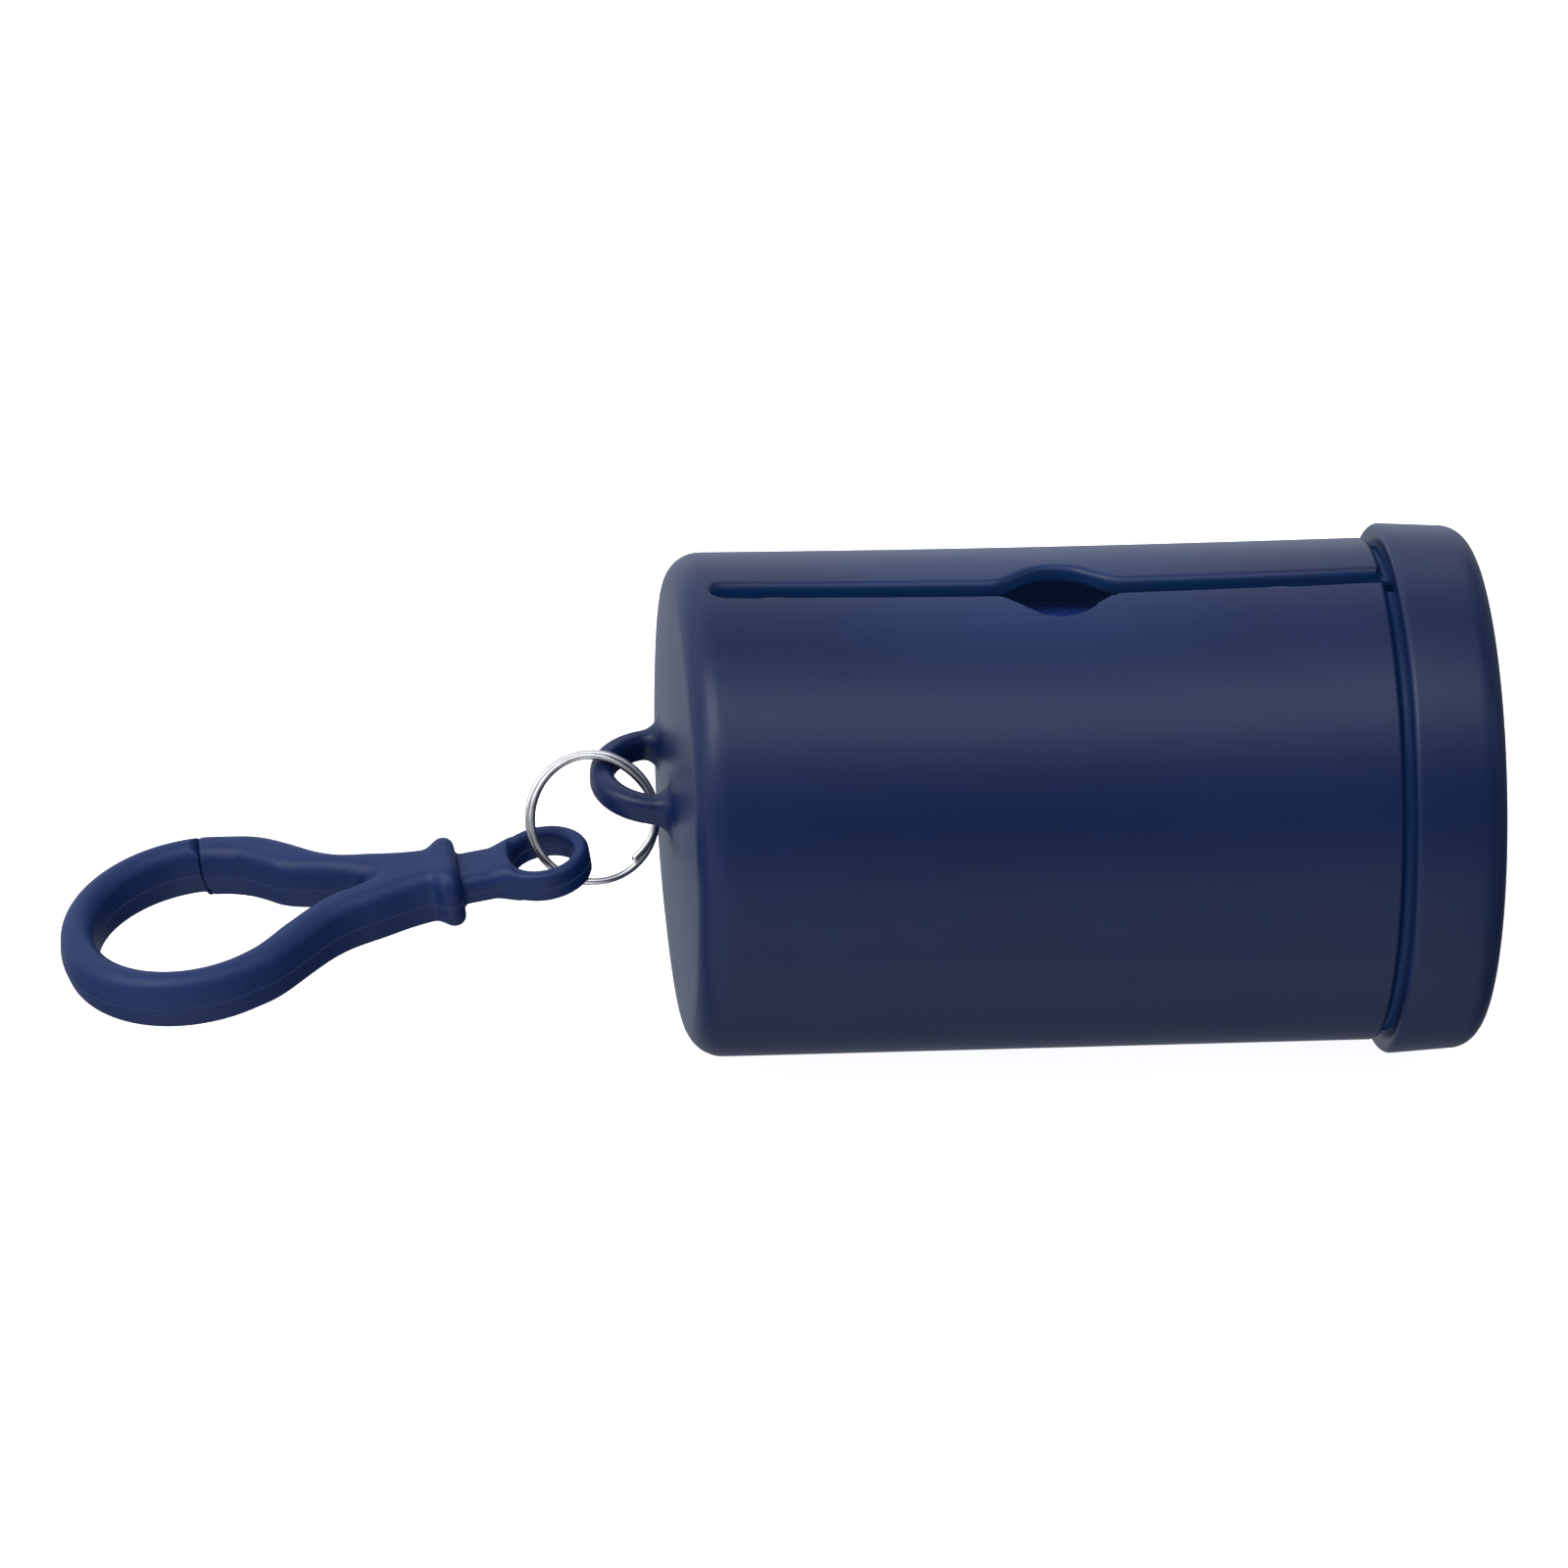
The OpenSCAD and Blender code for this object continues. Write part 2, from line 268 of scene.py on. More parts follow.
# %% Canister
LENGTH, BODY_R, BORE_R, NECK_R = 72.4, 22.4, 20.4, 21.4
RIM, NECK_END, FLOOR, DOME, CORNER = 63.05, 70.2, 3.1, 1.1, 3.2
SLOT_W, SLOT_START, OPENING_X, OPENING_R = 2.0, 3.75, 34.3, 4.0
BAIL_R, BAIL_W, BAIL_H, BAIL_Z = 6.5, 2.1, 2.65, 3.0
RIM_EDGE, SLOT_SHIFT, SLOT_FLARE, SLOT_FLOOR = 0.35, 0.12, 2.1, 10
BOW, LEAN_REACH, BAIL_EDGE, BAIL_FILLET = 0.5, 18, 0.93, 1.6

dome_r = ((BODY_R - CORNER) ** 2 + DOME ** 2) / (2 * DOME)
tilt = math.degrees(math.asin((BODY_R - CORNER) / (dome_r - CORNER)))
corner_y = dome_r - math.sqrt((dome_r - CORNER) ** 2 - (BODY_R - CORNER) ** 2)
shell_outline = [*arc(0, dome_r, dome_r, -90, -90 + tilt, 14),
                 *arc(BODY_R - CORNER, corner_y, CORNER, -90 + tilt, 0, 10),
                 *arc(BODY_R - RIM_EDGE, RIM - RIM_EDGE, RIM_EDGE, 0, 90, 6),
                 *arc(NECK_R + 0.25, RIM + 0.25, 0.25, -90, -180, 3),
                 *arc(NECK_R - 0.4, NECK_END - 0.4, 0.4, 0, 90, 4),
                 *arc(BORE_R + 0.3, NECK_END - 0.3, 0.3, 90, 180, 3),
                 *arc(BORE_R - 2, FLOOR + 2, 2, 0, -90, 6), (0, FLOOR)]


def shell_distance(p):
    """The moulded shell: wall, slot, opening and bail."""
    x, y, z = p[..., 0] + LENGTH, p[..., 1], p[..., 2]
    r = np.hypot(y, z)
    # the top sinks a little between the ends, and the closed end leans a little
    top = np.clip(z / 21.5, 0, 1) ** 6
    bow = BOW * top * np.clip(np.sin(np.clip(x / RIM, 0, 1) * math.pi), 0, 1)
    fade = np.clip(1 - x / LEAN_REACH, 0, 1)
    lean = (0.02 - 0.026 * (0.54 * y + 0.84 * z)) * fade * fade * (3 - 2 * fade)
    shell = outline_distance(shell_outline, r + bow, x - lean)
    # the slot starts in a half circle and widens into the round opening
    across = y + SLOT_SHIFT
    start = SLOT_START + SLOT_W / 2
    slot = np.where(x > start, np.abs(across),
                    np.hypot(x - SLOT_START - SLOT_W / 2, across)) - SLOT_W / 2
    opening = np.hypot(x - OPENING_X, across) - OPENING_R
    slot = np.maximum(joined(slot, opening, SLOT_FLARE), SLOT_FLOOR - z)
    # one lip of the slot is crisp and the other is soft
    shell = cut(shell, slot, 0.12 + 0.63 * np.clip(0.5 + y / 2.4, 0, 1))
    band = round_box(np.hypot(x, y) - BAIL_R + BAIL_W / 2, z - BAIL_Z,
                     BAIL_W / 2, BAIL_H / 2, BAIL_EDGE)
    return joined(shell, np.maximum(band, x - 2), BAIL_FILLET)


def steps(*parts):
    """Grid lines from (start, end, cell) parts that follow on from each other."""
    lines = [np.linspace(a, b, max(2, round((b - a) / c) + 1)) for a, b, c in parts]
    return np.unique(np.round(np.concatenate(lines), 6))


half_slot = math.radians(19)
axes = (steps((0.15, 7.8, 0.3), (7.8, 18.3, 0.75), (18.3, 23.4, 0.3)),
        steps((-half_slot, half_slot, 0.014), (half_slot, 2 * math.pi - half_slot, 0.045)),
        steps((-LENGTH - 7.2, -LENGTH + 4.2, 0.33), (-LENGTH + 4.2, -LENGTH + 28, 0.6),
              (-LENGTH + 28, -LENGTH + 42, 0.4), (-LENGTH + 42, -LENGTH + 61.5, 0.6),
              (-LENGTH + 61.5, -1.8, 0.3)))


def round_the_tube(g):
    """From (radius, angle, length) to a place in space."""
    return np.stack([g[..., 2], g[..., 0] * np.sin(g[..., 1]), g[..., 0] * np.cos(g[..., 1])], -1)


corners, quads, normals = skin(shell_distance, axes, round_the_tube, ring=True)
canister = make("canister_shell", corners, quads, "canister", "navy_plastic", ["canister"], normals)

# %% [markdown]
# ## The end cap
# The cap is a cup turned about the same axis, so it needs no grid: its outline is
# swept round in many narrow steps. Its corners are arcs with enough points to shade
# as soft radii.

# %% Turning a shape about the canister's axis


def turned(name, outline, body, slot, replaces=(), turns=160, axis_z=0.0):
    """Sweeps (radius, distance from the closed end) points round the axis."""
    line = np.array(outline, float)
    angle = np.arange(turns) * 2 * math.pi / turns
    pole = line[:, 0] < 1e-6
    corners, rows = [], []
    for (r, x), on_axis in zip(line, pole):
        a = angle[:1] if on_axis else angle
        rows.append(np.arange(len(a)) + len(corners))
        corners += [(x - LENGTH, r * math.sin(t), r * math.cos(t) + axis_z) for t in a]
    pairs = list(zip(rows, rows[1:])) + ([] if pole[0] or pole[-1] else [(rows[-1], rows[0])])
    faces = []
    for a, b in pairs:
        for i in range(turns):
            j = (i + 1) % turns
            loop = [a[i % len(a)], b[i % len(b)], b[j % len(b)], a[j % len(a)]]
            faces.append(list(dict.fromkeys(loop)))
    return make(name, corners, faces, body, slot, replaces)


# %% End cap
CAP_OPEN, CAP_IN, CAP_BORE_R, CAP_END = 63.85, 70.4, 21.5, 72.2
CAP_R, CAP_TOP_R = 23.65, 23.35
CAP_EDGE, CAP_CORNER = 0.65, 2.4
cap_outline = [(0, CAP_IN), *arc(CAP_BORE_R - 0.8, CAP_IN - 0.8, 0.8, 90, 0, 5),
               *arc(CAP_BORE_R + 0.5, CAP_OPEN + 0.5, 0.5, 180, 270, 6),
               *arc(CAP_R - CAP_EDGE, CAP_OPEN + CAP_EDGE, CAP_EDGE, -90, 0, 10),
               *arc(CAP_TOP_R - CAP_CORNER, CAP_END - CAP_CORNER, CAP_CORNER, 0, 90, 14),
               (16, CAP_END), (8, CAP_END), (0, CAP_END)]
cap = turned("cap_shell", cap_outline, "cap", "navy_plastic", ["end_cap"])

# %% [markdown]
# ## The split ring
# A split ring is one springy wire wound a little under twice round, so both its ends
# show. It is drawn as a path that climbs from one turn to the next, with a small
# circle of points carried along it and a rounded nub at each cut end.

# %% Frames of the ring and the hook
RING_FACE, RING_HANG, RING_D, WIRE_D = math.radians(57), math.radians(16), 12.0, 0.62
bail_mean = BAIL_R - BAIL_W / 2
along = np.array([1.0, 0, 0])
rise = np.array([0, math.cos(RING_FACE), math.sin(RING_FACE)])
facing = np.cross(along, rise)
hang = 3.328
ring_centre = (np.array([-LENGTH - bail_mean, -0.5, BAIL_Z])
               - hang * math.sin(RING_HANG) * along - hang * math.cos(RING_HANG) * rise)
print("ring centre", ring_centre.round(3), "facing", facing.round(3))

# %% Split ring


def wire(path, radius, sides=14):
    """Corners and faces of a round wire along the path, with rounded ends."""
    path = np.asarray(path, float)
    ahead = np.gradient(path, axis=0)
    ahead /= np.linalg.norm(ahead, axis=1)[:, None]
    side = facing - (ahead @ facing)[:, None] * ahead
    side /= np.linalg.norm(side, axis=1)[:, None]
    over = np.cross(ahead, side)
    rings = []
    nub = [(-0.95, 0.3), (-0.7, 0.72), (-0.35, 0.94)]
    for k in [*nub, *range(len(path)), *[(-d, s) for d, s in nub[::-1]]]:
        if isinstance(k, int):
            shift, size, i = 0, 1, k
        else:
            shift, size, i = k[0] * radius, k[1], 0 if k[0] < 0 else -1
        rings.append((path[i] + ahead[i] * shift, side[i], over[i], size * radius))
    turn = np.arange(sides) * 2 * math.pi / sides
    cosine, sine = np.cos(turn)[:, None], np.sin(turn)[:, None]
    corners = np.concatenate([c + r * (cosine * s + sine * o) for c, s, o, r in rings])
    faces = [[a * sides + i, a * sides + (i + 1) % sides,
              (a + 1) * sides + (i + 1) % sides, (a + 1) * sides + i]
             for a in range(len(rings) - 1) for i in range(sides)]
    faces += [list(range(sides))[::-1], [(len(rings) - 1) * sides + i for i in range(sides)]]
    return corners, faces


ring_mid = (RING_D - WIRE_D) / 2
turn = np.linspace(math.radians(-45), math.radians(360 + 265), 240)
second = np.clip((turn - math.radians(262)) / math.radians(50), 0, 1)
second = second * second * (3 - 2 * second)
beside = [np.exp(-((turn - math.radians(at)) / math.radians(wide)) ** 2)
          for at, wide in ((48, 42), (-45, 24), (165, 60))]
inset = (1 - second) * (0.04 + 0.42 * beside[0] + 0.5 * beside[1] + 0.26 * beside[2])
lift = WIRE_D / 2 * (1 - 2 * second)
path = (ring_centre + ((ring_mid - inset) * np.cos(turn))[:, None] * along
        + ((ring_mid - inset) * np.sin(turn))[:, None] * rise + lift[:, None] * facing)
split_ring = make("split_ring_coil", *wire(path, WIRE_D / 2), "ring", "ring_steel", ["split_ring"])

# %% [markdown]
# ## The snap hook and its gate
# The hook is one moulding: an eye, a round collar, a shank that opens into a loop,
# and a thin arm that springs inwards as a gate. Its flat outline is drawn in the
# plane of the hook and given a thickness with well-rounded edges. The gate is then
# cut free along a plane at its root, where it bends, and the cut faces meet exactly,
# so that no seam shows on the closed hook. Its free end is a slanted face, and the
# loop is scooped out beside it. The scoop is shallow: the tip clears the loop when
# the gate is shut and when it is well open, but touches it on the way.

# %% The hook's own frame
eye_angle, slope_down, swing = math.radians(220), math.radians(10.2), math.radians(1.8)
eye = ring_centre + (ring_mid + 0.1) * (math.cos(eye_angle) * along + math.sin(eye_angle) * rise)
hook_turn = np.array(Matrix.Rotation(swing, 3, "Z") @ Matrix.Rotation(-slope_down, 3, "Y"))
hook_u, hook_v, hook_n = -hook_turn[:, 0], hook_turn[:, 1], hook_turn[:, 2]
hook_axes = np.stack([hook_u, hook_v, hook_n])
eye = eye - 0.25 * hook_n
print("eye", eye.round(3), "hook runs along", hook_u.round(3))

# %% The hook's shape as distances
LOOP_U, LOOP_R, HOLE_R, ARM_T, ARM_EDGE, DRAFT = 31.4, 11.7, 8.8, 5.3, 1.2, 0.24
FLEX_U, FLEX_V, ROOT_U = 17.6, 2.7, 16.62
flank = through([(8.4, 2.75), (10, 2.8), (12.3, 3.15), (15, 3.9), (17, 4.4), (18.4, 4.95),
                 (19.8, 5.8), (21.8, 7.45), (23.7, 9.1), (25.4, 10.2), (28, 11.2)], 4)
far_flank = [(u, v + 0.5 * math.exp(-((u - 22) / 3.2) ** 2)) for u, v in flank]
body_line = [*far_flank, *[(u, -v) for u, v in flank[::-1]]]
crotch_far = through([(15, 0.1), (15.7, 0.5), (16.5, 0.95), (17.5, 1.65), (19.3, 2.45),
                      (22.1, 3.4), (23.6, 4.2), (25.2, 5.4), (26.6, 6.6)], 4)
crotch_near = through([(15, 0.1), (15.7, -0.3), (16.5, -0.65), (17.4, -0.95), (18.9, -1.4),
                       (20.7, -2.45), (23, -4.3), (25, -6.0), (26.6, -7.3)], 4)
crotch_line = [*crotch_far, *crotch_near[:0:-1]]


def tip_line(v):
    """The gate ends on a line that points at the middle of the loop."""
    return LOOP_U - 0.1 - 0.15 * np.maximum(v, 0)


def hook_flat(u, v):
    """Flat distance of shank and loop, gate and all."""
    solid = np.minimum(np.hypot(u - LOOP_U, v) - LOOP_R, outline_distance(body_line, u, v))
    thicker = np.clip((tip_line(v) + 0.1 - u) / 0.3, 0, 1) * (v > 0)
    hole = np.hypot(u - LOOP_U, v + 0.6 * thicker) - HOLE_R
    return np.maximum(solid, -joined(hole, outline_distance(crotch_line, u, v), 0.8))


def arms_distance(p):
    """The flat shape, thickest along its middle, with a web that thins out in the crotch."""
    u, v, high = p[..., 0], p[..., 1], np.abs(p[..., 2])
    drafted = (hook_flat(u, v) + DRAFT * (np.hypot(high, 0.6) - 1.7)) * 0.97
    arms = common(drafted, high - ARM_T / 2, ARM_EDGE)
    web = np.maximum(outline_distance(crotch_line, u, v) - 0.3,
                     0.6 * (high - 2.6 + 1.3 * (u - 14.5)))
    return joined(arms, web, 0.5)


def tip_face(u, v, n):
    """Which side of the gate's end a point is on; below the middle the end slants back."""
    return 0.97 * (u - tip_line(v) - 0.27 * np.minimum(n, 0))


def scoop(u, v, n):
    """A shallow hollow in the loop beside the gate's tip."""
    wide = 1.05 * np.clip(1 - ((v - 9.4) / 2.1) ** 2, 0.02, 1)
    along = (u - tip_line(v)) / wide
    return np.maximum(along - 1, (2.75 - 0.95 * np.clip(1 - along, 0, 1) - n) * 0.7)


GATE_GAP, EYE_MID_R, EYE_HALF_W, FLAT_HALF_T = 0.045, 3.48, 0.67, 1.45
COLLAR_U, COLLAR_HALF_V, COLLAR_HALF_T = 8.55, 4.25, 2.95


def hook_distance(p):
    """Eye, stem, collar and arms, less the gate and its room."""
    u, v, n = p[..., 0], p[..., 1], p[..., 2]
    room = np.minimum(tip_face(u, v, n) - GATE_GAP, scoop(u, v, n))
    arms = cut(arms_distance(p), np.maximum(np.maximum(room, ROOT_U + 1.4 - u), -v), 0.1)
    rim = round_box(np.hypot(u, v) - EYE_MID_R, n, EYE_HALF_W, FLAT_HALF_T, 0.6)
    stem = round_box(v, n, 2.7, FLAT_HALF_T, 1.15)
    stem = common(np.maximum(stem, np.abs(u - 5.9) - 2.6), 3.1 - np.hypot(u, v), 0.4)
    band = common(round_box(v, n, COLLAR_HALF_V, COLLAR_HALF_T, 2.2),
                  np.abs(u - COLLAR_U) - 1.0, 0.95)
    return joined(joined(joined(rim, stem, 1.2), band, 0.4), arms, 1.0)


def gate_distance(p):
    """The arm on the gate's side, up to its slanted end."""
    u, v, n = p[..., 0], p[..., 1], p[..., 2]
    return np.maximum(common(arms_distance(p), tip_face(u, v, n), 0.15), -0.05 - v)


# %% Parting the gate from the hook at its root


def cut_at_root(corners, quads, keep_gate):
    """Cuts the skin along the plane of the gate's root and drops the other side."""
    mesh = bmesh.new()
    made = [mesh.verts.new(c) for c in corners]
    for q in quads:
        mesh.faces.new([made[i] for i in q])
    near = [f for f in mesh.faces if abs(f.calc_center_median().x - ROOT_U) < 2
            and f.calc_center_median().y > (-9 if keep_gate else 0)]
    parts = {*near, *[e for f in near for e in f.edges], *[v for f in near for v in f.verts]}
    bmesh.ops.bisect_plane(mesh, geom=list(parts), plane_co=(ROOT_U, 0, 0), plane_no=(1, 0, 0), dist=1e-4)
    dropped = []
    for f in mesh.faces:
        c = f.calc_center_median()
        beyond = c.x > ROOT_U and c.y > 0 and math.hypot(c.x - FLEX_U, c.y - FLEX_V) < 8
        if (c.x < ROOT_U) if keep_gate else beyond:
            dropped.append(f)
    bmesh.ops.delete(mesh, geom=dropped, context="FACES")
    open_edges = [e for e in mesh.edges if len(e.link_faces) == 1]
    bmesh.ops.holes_fill(mesh, edges=open_edges, sides=0)
    mesh.verts.index_update()
    points = np.array([v.co for v in mesh.verts])
    faces = [[v.index for v in f.verts] for f in mesh.faces]
    print("open edges closed at the root:", len(open_edges))
    mesh.free()
    return points, faces


def hook_piece(name, distance, axes, node, keep_gate):
    """Skins one side of the parting and sets it in the hook's own frame."""
    corners, quads, _ = skin(distance, axes)
    points, faces = cut_at_root(corners, quads, keep_gate)
    g, g2 = slope(distance, points)
    normals = (g / np.sqrt(g2)[:, None]) @ hook_axes
    bend = None
    if keep_gate:
        bend = ("gate", eye + (ROOT_U + 0.1) * hook_u, eye + (ROOT_U + 4) * hook_u)
    piece = make(name, points @ hook_axes + eye, faces, "hook", "navy_plastic",
                 [node], normals, bend)
    height = piece.data.attributes.new("height", "FLOAT", "POINT")
    height.data.foreach_set("value", points[:, 2].astype(np.float32))
    return piece


hook = hook_piece("hook_moulding", hook_distance,
                  (steps((-4.6, 43.8, 0.28)), steps((-12.4, 12.4, 0.28)), steps((-4.8, 4.8, 0.28))),
                  "snap_hook", False)
gate = hook_piece("hook_spring_gate", gate_distance,
                  (steps((14.5, 31.4, 0.25)), steps((-0.5, 12.4, 0.25)), steps((-3.2, 3.2, 0.25))),
                  "hook_gate", True)

# %% [markdown]
# ## The roll of bags
# The refill is a paper core with thin film wound on it. Seen through the slot it is a
# band of glossy film with soft creases across it, and a loose last turn on top whose
# edge lifts a little. Creases are real bends of the film, so they are moved in the
# mesh. The hundreds of layers at the ends are far finer and are not drawn one by one:
# the material has only streaks that run with them.

# %% Roll, core and loose bag
ROLL_Z, ROLL_R, CORE_R, CORE_WALL = -1.43, 18.3, 7.0, 0.9
ROLL_START, ROLL_LEN = 4.3, 60.0

CORE_START, CORE_END, CORE_EDGE = 3.9, 64.7, 0.15
core_outline = [(CORE_R - CORE_WALL, CORE_START + CORE_EDGE),
                (CORE_R - CORE_WALL + CORE_EDGE, CORE_START),
                (CORE_R - CORE_EDGE, CORE_START), (CORE_R, CORE_START + CORE_EDGE),
                (CORE_R, CORE_END - CORE_EDGE), (CORE_R - CORE_EDGE, CORE_END),
                (CORE_R - CORE_WALL + CORE_EDGE, CORE_END),
                (CORE_R - CORE_WALL, CORE_END - CORE_EDGE)]
core = turned("paper_core", core_outline[::-1], "roll", "core_paper", ["roll_core"], 96, ROLL_Z)


def wound_roll():
    """The wound film: a tube whose outer turns crease gently."""
    xs = np.linspace(ROLL_START, ROLL_START + ROLL_LEN, 61)
    angle = np.arange(180) * 2 * math.pi / 180
    x, a = np.meshgrid(xs, angle, indexing="ij")
    crease = (0.5 + 0.5 * np.sin(7 * a + 0.21 * x + 1.3 * np.sin(0.13 * x))) * 0.12
    crease += (0.5 + 0.5 * np.sin(19 * a - 0.35 * x)) * 0.06
    r = ROLL_R - 0.02 - crease
    outer = np.stack([x - LENGTH, r * np.sin(a), r * np.cos(a) + ROLL_Z], -1).reshape(-1, 3)
    inner_r = CORE_R + 0.02
    end_x, end_a = x[[0, -1]], a[[0, -1]]
    inner = np.stack([end_x - LENGTH, inner_r * np.sin(end_a),
                      inner_r * np.cos(end_a) + ROLL_Z], -1).reshape(-1, 3)
    n, rows = len(angle), len(xs)
    order = [rows, *range(rows), rows + 1, rows]
    faces = []
    for p, q in zip(order, order[1:]):
        for i in range(n):
            j = (i + 1) % n
            faces.append([p * n + i, p * n + j, q * n + j, q * n + i])
    return np.concatenate([outer, inner]), faces


roll = make("wound_bags", *wound_roll(), "roll", "bag_film", ["bag_roll"])


def loose_turn():
    """The last bag lies loose on the roll, lifting in folds, within its own thin space."""
    reach = math.radians(54)
    us, vs = np.linspace(0.2, ROLL_LEN - 0.2, 80), np.linspace(-reach, reach, 90)
    x, a = np.meshgrid(us, vs, indexing="ij")
    fold = np.sin(9 * a + 0.9 * np.sin(0.16 * x)) * 0.5 + np.sin(23 * a + 0.24 * x) * 0.25
    fold = np.clip(0.5 + 0.42 * fold, 0, 1)
    sheets = []
    for lift in (0.0, 0.07):
        r = 18.34 + 0.28 * fold + lift
        sheets.append(np.stack([x + ROLL_START - LENGTH, r * np.sin(a),
                                r * np.cos(a) + ROLL_Z], -1).reshape(-1, 3))
    nu, nv = x.shape
    at = lambda s, i, j: s * nu * nv + i * nv + j
    faces = []
    for i in range(nu - 1):
        for j in range(nv - 1):
            near, across = (i + 1, j), (i, j + 1)
            faces.append([at(1, i, j), at(1, *near), at(1, i + 1, j + 1), at(1, *across)])
            faces.append([at(0, i, j), at(0, *across), at(0, i + 1, j + 1), at(0, *near)])
    border = ([(i, 0) for i in range(nu)] + [(nu - 1, j) for j in range(1, nv)]
              + [(i, nv - 1) for i in range(nu - 2, -1, -1)] + [(0, j) for j in range(nv - 2, 0, -1)])
    for (i, j), (k, l) in zip(border, border[1:] + border[:1]):
        faces.append([at(0, i, j), at(0, k, l), at(1, k, l), at(1, i, j)])
    return np.concatenate(sheets), faces


loose = make("loose_bag_film", *loose_turn(), "roll", "bag_film", ["loose_bag"])

# %% [markdown]
# ## Finishes
# Moulded plastic in a dark navy is not one flat colour: it has a fine spark-eroded
# grain that spreads its highlights, and faint flow marks. Steel wire has a fine,
# uneven polish. Film is smooth, glossy and crinkled. Thin film and cut walls let a
# little light through, which is imitated here by a very weak emission: scattering
# inside the wall would be truer, but slower and noisier. Each finish is a small
# network of nodes built by code.

# %% Node helpers


def finish_of(name, **sockets):
    """A new material, its node tree and its main shader, with plain values set on the shader."""
    made = bpy.data.materials.new(name)
    made.use_nodes = True
    shader = made.node_tree.nodes["Principled BSDF"]
    for socket, value in sockets.items():
        shader.inputs[socket.replace("_", " ")].default_value = value
    return made, made.node_tree, shader


def add(tree, kind, links=None, **settings):
    """Adds a node, sets its inputs by name, and links sockets into it."""
    node = tree.nodes.new(kind)
    for key, value in settings.items():
        if hasattr(node, key):
            setattr(node, key, value)
        else:
            node.inputs[key.replace("_", " ")].default_value = value
    for key, source in (links or {}).items():
        tree.links.new(source, node.inputs[key])
    return node


def colour_ramp(tree, factor, *stops):
    ramp = add(tree, "ShaderNodeValToRGB", {"Fac": factor})
    while len(ramp.color_ramp.elements) < len(stops):
        ramp.color_ramp.elements.new(0.5)
    for element, (at, colour) in zip(ramp.color_ramp.elements, stops):
        element.position, element.color = at, (*colour, 1)
    return ramp.outputs["Color"]


def bumped(tree, shader, *layers):
    """Stacks bumps of (height socket, strength, depth in mm) onto the shader."""
    normal = None
    for height, strength, depth in layers:
        bump = add(tree, "ShaderNodeBump", {"Height": height}, Strength=strength, Distance=depth * MM)
        if normal:
            tree.links.new(normal, bump.inputs["Normal"])
        normal = bump.outputs["Normal"]
    tree.links.new(normal, shader.inputs["Normal"])


# %% Navy plastic


